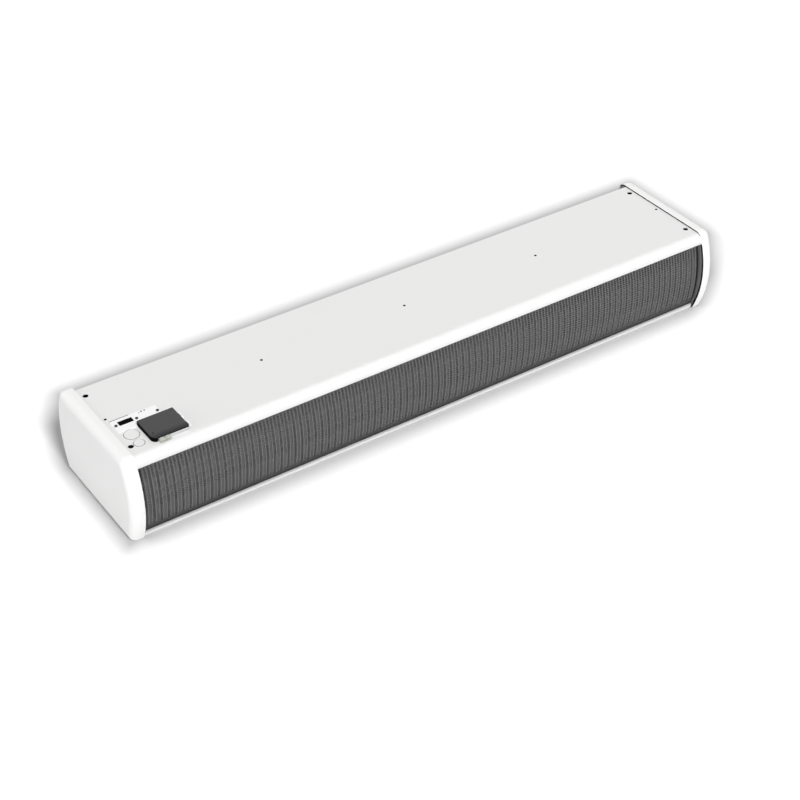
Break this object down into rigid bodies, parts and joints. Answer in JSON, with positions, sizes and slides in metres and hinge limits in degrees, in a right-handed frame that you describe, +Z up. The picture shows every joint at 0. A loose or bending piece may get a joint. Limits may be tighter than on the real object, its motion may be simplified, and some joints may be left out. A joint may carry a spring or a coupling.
{
  "type": "air curtain",
  "caption": "Long white over-door air curtain with moulded end caps, a hinged front intake grille, cross-flow rotors, heating rods and tilting outlet vanes.",
  "frame": {"origin": "middle of the casing's underside, on the plane that the end caps rest on", "axes": "+X along the length, to the right seen from the front; +Y from the intake grille at the front to the back; +Z up"},
  "size_m": [1.575, 0.344, 0.223],
  "materials": {
    "cap": "satin white moulded plastic",
    "casing": "white powder coat",
    "dark_plate": "matt black coat",
    "grille": "dark grey coat",
    "grille_frame": "light grey coat",
    "zinc": "zinc plated",
    "dark_screw": "blackened",
    "rubber": "matt",
    "motor": "cast",
    "shaft": "ground",
    "rotor": "rolled sheet",
    "bearing": "sintered bronze",
    "fan_sheet": "galvanised sheet",
    "vane": "anodised",
    "link": "moulded",
    "element": "heat-tinted tube with fins",
    "terminal": "moulded",
    "contactor": "moulded",
    "capacitor": "drawn can",
    "control_plate": "white coat",
    "control_cover": "fine-grained dark grey",
    "hinge": "moulded",
    "board": "coated laminate",
    "socket": "moulded",
    "plug": "clear plastic",
    "switch": "moulded",
    "button": "moulded"
  },
  "bodies": {
    "casing": {"end_cap_left": "cap", "end_cap_right": "cap", "end_plate_left": "dark_plate", "end_plate_right": "dark_plate", "top_panel": "casing", "back_panel": "casing", "bottom_panel": "casing", "front_lip": "casing", "grille_catches": "link", "cap_screws": "zinc", "hanger_bushes": "zinc", "panel_screws": "dark_screw", "knockout_discs": "casing", "motor_bulkhead_left": "fan_sheet", "motor_bulkhead_right": "fan_sheet", "motor_housing": "motor", "motor_rings": "rubber", "end_bearings": "bearing", "fan_rear_wall_left": "fan_sheet", "fan_rear_wall_right": "fan_sheet", "fan_tongue_left": "fan_sheet", "fan_tongue_right": "fan_sheet", "heating_rod_lower": "element", "heating_rod_middle": "element", "heating_rod_upper": "element", "heating_rod_racks": "fan_sheet", "service_tray": "fan_sheet", "terminal_block": "terminal", "contactors": "contactor", "motor_capacitor": "capacitor", "control_plate": "control_plate", "control_plate_screws": "dark_screw", "cover_hinge_base": "hinge", "cover_hinge_pins": "zinc", "control_board": "board", "modular_sockets": "socket", "modular_plugs": "plug", "reset_switch_body": "switch", "tray_grommet": "rubber"},
    "grille": {"grille_sheet": "grille", "grille_frame": "grille_frame", "grille_hinge_pins": "zinc"},
    "fan_rotor": {"motor_shaft": "shaft", "rotor_left": "rotor", "rotor_right": "rotor", "rotor_stub_shafts": "shaft"},
    "vane_front": {"outlet_vane_front": "vane"},
    "vane_middle": {"outlet_vane_middle": "vane"},
    "vane_rear": {"outlet_vane_rear": "vane"},
    "vane_link_bar": {"vane_link": "link"},
    "cover": {"control_cover": "control_cover"},
    "button": {"reset_button": "button"}
  },
  "joints": [
    {"name": "grille_open", "type": "hinge", "parent": "casing", "child": "grille", "pos_m": [0, -0.14378, 0.014], "axis": [1, 0, 0], "range_deg": [0, 85]},
    {"name": "fan_spin", "type": "hinge", "parent": "casing", "child": "fan_rotor", "pos_m": [0, 0.028, 0.118], "axis": [1, 0, 0], "continuous": true},
    {"name": "vane_tilt_middle", "type": "hinge", "parent": "casing", "child": "vane_middle", "pos_m": [0, 0.076, 0.022], "axis": [1, 0, 0], "range_deg": [-20, 20]},
    {"name": "vane_tilt_front", "type": "hinge", "parent": "casing", "child": "vane_front", "pos_m": [0, 0.052, 0.022], "axis": [1, 0, 0], "range_deg": [-20, 20]},
    {"name": "vane_tilt_rear", "type": "hinge", "parent": "casing", "child": "vane_rear", "pos_m": [0, 0.1, 0.022], "axis": [1, 0, 0], "range_deg": [-20, 20]},
    {"name": "link_turn", "type": "hinge", "parent": "vane_middle", "child": "vane_link_bar", "pos_m": [0, 0.076, 0.034], "axis": [1, 0, 0], "range_deg": [-20, 20]},
    {"name": "cover_open", "type": "hinge", "parent": "casing", "child": "cover", "pos_m": [-0.6166, -0.0893, 0.2142], "axis": [0, 1, 0], "range_deg": [0, 100]},
    {"name": "reset_press", "type": "slide", "parent": "casing", "child": "button", "axis": [0, 0, -1], "range_m": [0, 0.002], "stiffness_N_per_m": 300}
  ],
  "couplings": [
    {"joint": "vane_tilt_front", "follows": "vane_tilt_middle", "ratio": 1},
    {"joint": "vane_tilt_rear", "follows": "vane_tilt_middle", "ratio": 1},
    {"joint": "link_turn", "follows": "vane_tilt_middle", "ratio": -1}
  ]
}
